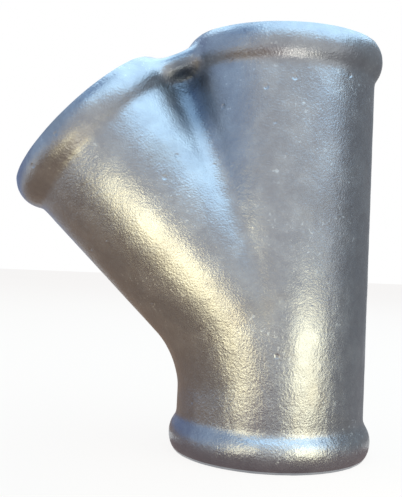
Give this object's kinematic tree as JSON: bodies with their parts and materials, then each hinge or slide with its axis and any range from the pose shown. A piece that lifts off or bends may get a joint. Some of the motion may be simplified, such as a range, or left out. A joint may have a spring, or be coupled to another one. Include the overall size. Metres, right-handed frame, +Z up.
{
  "type": "lateral wye fitting",
  "caption": "45 degree lateral wye pipe fitting in galvanised malleable iron, with banded ends and female pipe threads.",
  "frame": {"origin": "centre of the run's lower end face, which is the port at the foot of the run", "axes": "+Z up along the run's axis; the branch's axis lies in the XZ plane and leaves the run up and towards -X at 45 degrees; the XZ plane is the casting's plane of symmetry"},
  "size_m": [0.0792, 0.044, 0.0882],
  "materials": {
    "galvanised_iron": "hot-dip galvanised, rough cast skin, satin"
  },
  "bodies": {
    "root": {"wye_body": "galvanised_iron"}
  },
  "joints": []
}
